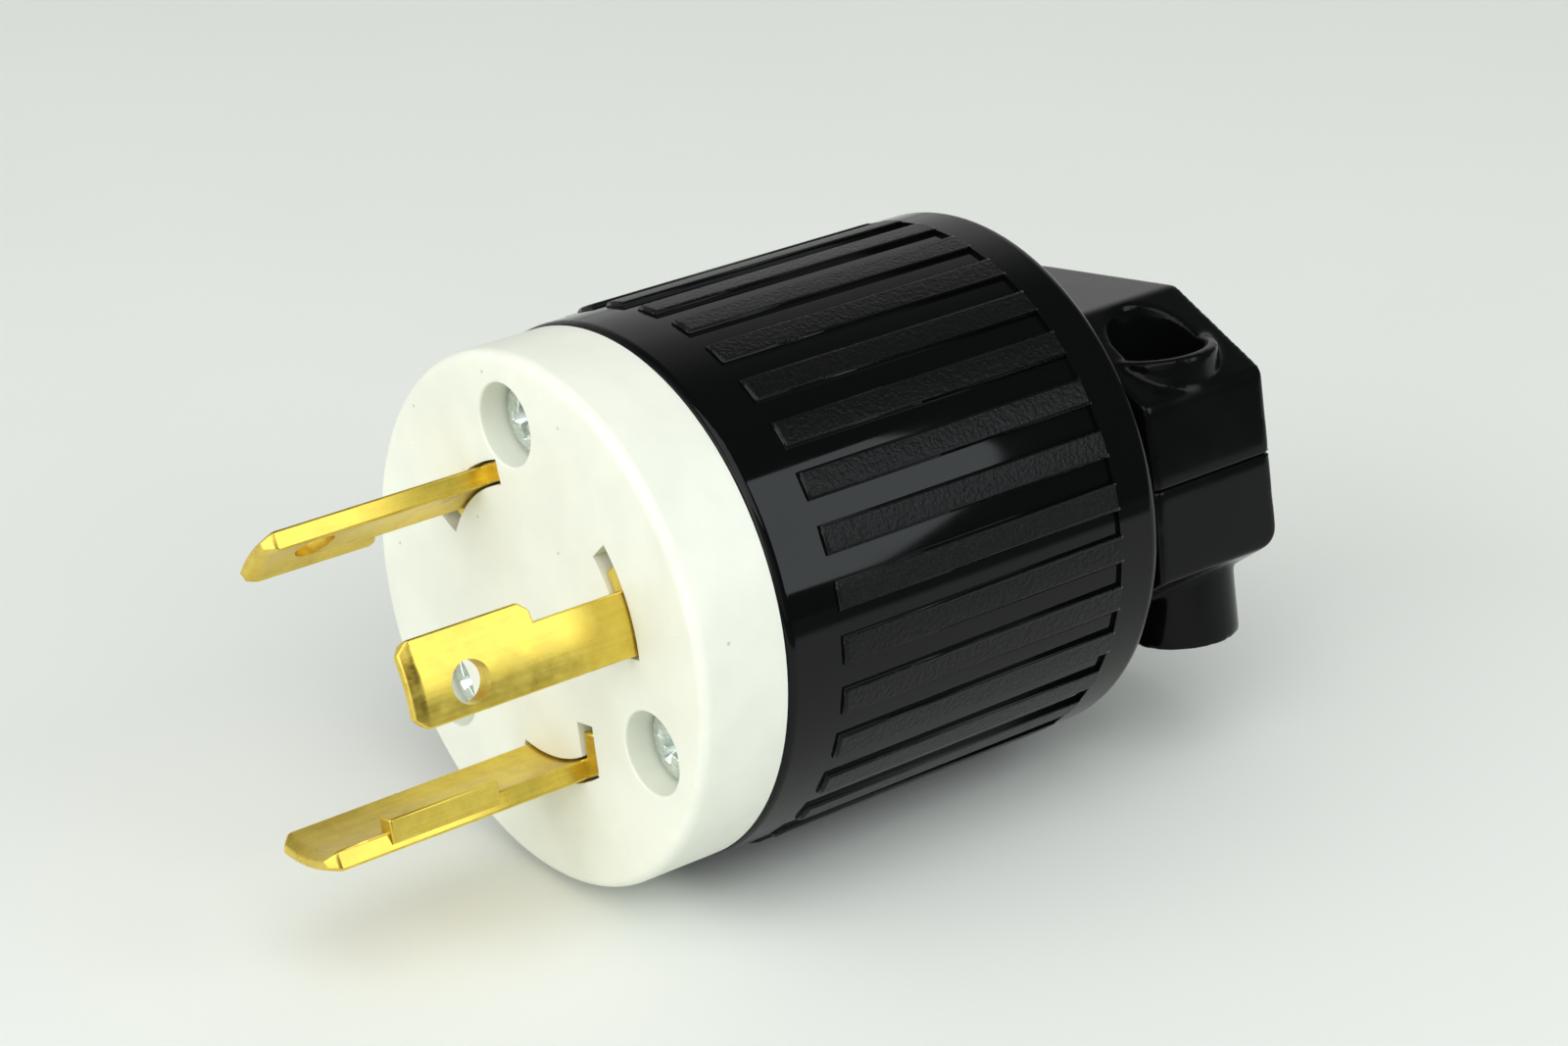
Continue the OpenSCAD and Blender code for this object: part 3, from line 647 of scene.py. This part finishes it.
def rub_soft(name, up):
    """A copy of a clamp half with soft edges and seams, which stands for the half."""
    shape = copy_of(name)
    bmesh.ops.rotate(shape, verts=shape.verts, cent=(0, 0, 0), matrix=CLAMP_ROLL.inverted())
    for out in (-1, 1):
        add_bar(shape, up, out)
    fill_corner(shape, up)
    shape = to_clay(shape)
    rubbed = [v for v in shape.verts if abs(v.co.z) > SPLIT_EDGE and from_clamp_screw(v.co) > HOLE_EDGE]
    for v in rubbed:
        v.co = draw_in(v.co, up)
    for _ in range(RUBS):
        bmesh.ops.smooth_vert(shape, verts=rubbed, factor=0.5, use_axis_x=True, use_axis_y=True,
                              use_axis_z=True)
    bmesh.ops.rotate(shape, verts=shape.verts, cent=(0, 0, 0), matrix=CLAMP_ROLL)
    stand_for(name, "_soft", shape)


rub_soft("cord_clamp_upper", up=1)
rub_soft("cord_clamp_lower", up=-1)

# %% [markdown]
# ## The table
#
# The plug lies on a plain pale sheet that runs past every edge of the picture. The polished parts of the real
# plug mirror a table that ends about 20 cm away on the camera's side, with a dim room beyond it. Past that
# line the sheet's colour is painted dark for reflected rays only, as a painted reflection of the dim room.

# %% Table
FLOOR_HALF = 3000 * MM
ground_z = cad_box[0][2]
sheet = bmesh.new()
bmesh.ops.create_grid(sheet, x_segments=1, y_segments=1, size=FLOOR_HALF)
bmesh.ops.translate(sheet, verts=sheet.verts, vec=(0, 0, ground_z))
floor_mesh = bpy.data.meshes.new("table_sheet")
sheet.to_mesh(floor_mesh)
sheet.free()
floor = bpy.data.objects.new("table_sheet", floor_mesh)
bpy.context.collection.objects.link(floor)
print("table at", round(ground_z / MM, 2), "mm")

# %% Pale paper of the table
paper, tree, shader, place = new_finish("pale_paper")
FIBRES = 40 * MM
END_FROM, END_TO = 170 * MM, 210 * MM
fibres = add(tree, "TexNoise", [("Scale", 1 / FIBRES), ("Detail", 2.0)], Vector=place)
tone = add(tree, "ValToRGB", [("stops", [(0.0, "#e8ebe7"), (1.0, "#ebeeea")])], Fac=fibres.outputs["Fac"])
spot = add(tree, "SeparateXYZ", Vector=place)
beyond = add(tree, "MapRange", [("From Min", END_FROM), ("From Max", END_TO)], Value=spot.outputs["Y"])
# painted reflection: for reflected rays only, the sheet turns dark grey past END_FROM, in place of the dim
# room beyond the table's edge
rays = add(tree, "LightPath")
dark_room_reflection = add(tree, "Math", [("operation", "MULTIPLY")], in_0=beyond.outputs["Result"],
             in_1=rays.outputs["Is Glossy Ray"])
colour = add(tree, "Mix", [("data_type", "RGBA"), (7, srgb("#5a5c5a"))], in_0=dark_room_reflection.outputs["Value"],
             in_6=tone.outputs["Color"])
tree.links.new(colour.outputs[2], shader.inputs["Base Color"])
shader.inputs["Roughness"].default_value = 0.8
shader.inputs["Specular IOR Level"].default_value = 0.2
floor_mesh.materials.append(paper)
print("made", paper.name, "with", len(tree.nodes), "nodes")

# %% [markdown]
# ## Light
#
# The reflections in the polished band give the lamps away. A narrow soft box stands beyond the cord end on
# the camera's side and leans a little. The white face is brightest where it looks past the blades, so a wide
# box stands there, and a third hangs above the camera. Each box is aimed at the plug from a compass angle and
# a height.

# %% Soft boxes
def soft_box(name, azimuth, elevation, distance, width, height, power, lean=0, tint="#ffffff"):
    """A rectangular lamp aimed at the plug, leaning in its own plane: angles in degrees, sizes in metres."""
    lamp = bpy.data.lights.new(name, "AREA")
    lamp.shape = "RECTANGLE"
    lamp.color = srgb(tint)[:3]
    lamp.size, lamp.size_y, lamp.energy = width, height, power
    box = bpy.data.objects.new(name, lamp)
    a, e = math.radians(azimuth), math.radians(elevation)
    towards = Vector((math.cos(e) * math.cos(a), math.cos(e) * math.sin(a), math.sin(e)))
    box.location = towards * distance
    turn = towards.to_track_quat("Z", "Y") @ Quaternion((0, 0, 1), math.radians(lean))
    box.rotation_euler = turn.to_euler()
    bpy.context.collection.objects.link(box)


soft_box("front_box", azimuth=0, elevation=25, distance=0.9, width=1.1, height=0.6, power=4.4)
soft_box("high_box", azimuth=60, elevation=60, distance=1.0, width=0.8, height=0.8, power=3.6)
soft_box("side_box", azimuth=123.5, elevation=28.5, distance=0.7, width=0.24, height=0.51, power=1.15,
         lean=-18.5, tint="#f1fafe")

# %% [markdown]
# The room adds a plain even light. For reflected rays it is dim, apart from a pale backdrop low behind the
# plug and a pale wall in front of the blades, which the brass mirrors. Where they begin and end is given by
# the parts of a ray's direction.

# %% Room
BACKDROP_FROM, BACKDROP_TO = -0.1, -0.45
BACKDROP_TOP, BACKDROP_FULL = 0.85, 0.5
WALL_FROM, WALL_TO = 0.2, 0.7
EVEN_LIGHT, DIM_ROOM, PALE_WALL = 0.52, 0.08, 0.62
world = bpy.data.worlds.new("dim_room")
world.use_nodes = True
tree = world.node_tree
room = tree.nodes["Background"]
rays = add(tree, "LightPath")
way = add(tree, "SeparateXYZ", Vector=add(tree, "TexCoord").outputs["Generated"])
far = add(tree, "MapRange", [("From Min", BACKDROP_FROM), ("From Max", BACKDROP_TO)], Value=way.outputs["Y"])
low = add(tree, "MapRange", [("From Min", BACKDROP_TOP), ("From Max", BACKDROP_FULL)], Value=way.outputs["Z"])
backdrop = add(tree, "Math", [("operation", "MULTIPLY")], in_0=far.outputs["Result"],
               in_1=low.outputs["Result"])
wall = add(tree, "MapRange", [("From Min", WALL_FROM), ("From Max", WALL_TO)], Value=way.outputs["X"])
pale = add(tree, "Math", [("operation", "MAXIMUM")], in_0=backdrop.outputs["Value"],
           in_1=wall.outputs["Result"])
mirrored = add(tree, "MapRange", [("To Min", DIM_ROOM), ("To Max", PALE_WALL)], Value=pale.outputs["Value"])
level = add(tree, "Mix", [("data_type", "FLOAT"), (2, EVEN_LIGHT)], in_0=rays.outputs["Is Glossy Ray"],
            in_3=mirrored.outputs["Result"])
tree.links.new(level.outputs[0], room.inputs["Strength"])
room.inputs["Color"].default_value = srgb("#f9fbf8")
bpy.context.scene.world = world
bpy.context.scene.view_settings.view_transform = "Standard"
print("made", world.name, "with", len(tree.nodes), "nodes")

# %% [markdown]
# ## Camera
#
# The place and the lens were found by fitting the circles of the nose and the housing in the photograph. The
# fit took the picture as 1600 by 1067 pixels with its centre on the lens axis.

# %% Camera
CAMERA_AT = Vector((175.3, 254.0, 155.8)) * MM
CAMERA_AZIMUTH = -128.71
CAMERA_ELEVATION = -25.39
LENS_MM = 90.0
SENSOR_MM = 36.0
lens = bpy.data.cameras.new("camera")
lens.lens = LENS_MM
lens.sensor_fit = "HORIZONTAL"
lens.sensor_width = SENSOR_MM
lens.clip_start = 10 * MM
camera = bpy.data.objects.new("camera", lens)
camera.location = CAMERA_AT
camera.rotation_euler = Euler((math.radians(90 + CAMERA_ELEVATION), 0, math.radians(CAMERA_AZIMUTH - 90)))
bpy.context.collection.objects.link(camera)
bpy.context.scene.camera = camera
print("camera", round(CAMERA_AT.length / MM), "mm from the nose")

# %% [markdown]
# ## Last update

# %% Finish
bpy.context.view_layer.update()
